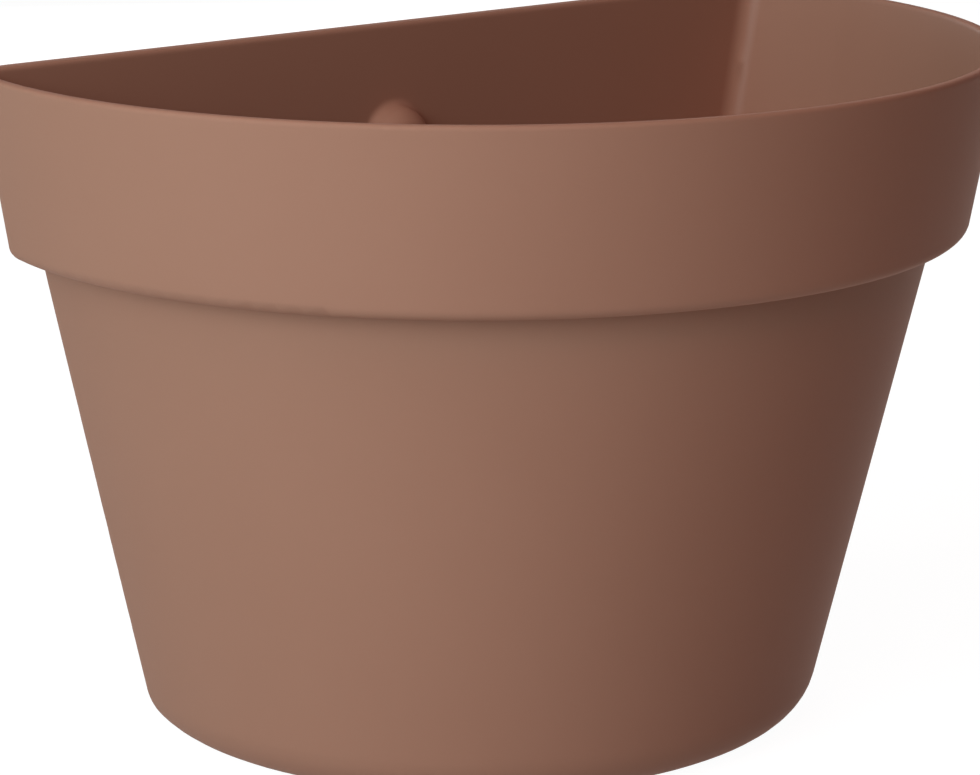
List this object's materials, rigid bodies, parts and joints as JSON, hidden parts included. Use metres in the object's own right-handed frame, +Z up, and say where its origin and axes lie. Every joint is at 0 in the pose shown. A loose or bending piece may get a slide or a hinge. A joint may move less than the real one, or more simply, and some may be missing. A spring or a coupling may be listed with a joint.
{
  "type": "half-round wall planter",
  "caption": "Half-round wall planter with a flat back and a wide stepped collar, a keyhole hanger, a lift-out drain grid and push-in drain plugs in its raised floor.",
  "frame": {"origin": "on the ground under the middle of the box that holds the planter", "axes": "+X to the right along the flat back, +Y out of the flat back towards the wall it hangs on, +Z up"},
  "size_m": [0.2996, 0.192, 0.196],
  "materials": {
    "pot_plastic": "fine matt moulded surface, terracotta brown, coloured through",
    "grid_plastic": "dark grey recycled plastic, matt",
    "plug_rubber": "soft black rubber"
  },
  "bodies": {
    "pot": {"pot_shell": "pot_plastic"},
    "grid": {"drain_grid": "grid_plastic"},
    "plug_left": {"drain_plug_left": "plug_rubber"},
    "plug_front": {"drain_plug_front": "plug_rubber"},
    "plug_right": {"drain_plug_right": "plug_rubber"}
  },
  "joints": [
    {"name": "grid_lift", "type": "slide", "parent": "pot", "child": "grid", "axis": [0, 0, 1], "range_m": [0, 0.19]},
    {"name": "plug_pull_left", "type": "slide", "parent": "pot", "child": "plug_left", "axis": [0, 0, -1], "range_m": [0, 0.02]},
    {"name": "plug_pull_front", "type": "slide", "parent": "pot", "child": "plug_front", "axis": [0, 0, -1], "range_m": [0, 0.02]},
    {"name": "plug_pull_right", "type": "slide", "parent": "pot", "child": "plug_right", "axis": [0, 0, -1], "range_m": [0, 0.02]}
  ]
}
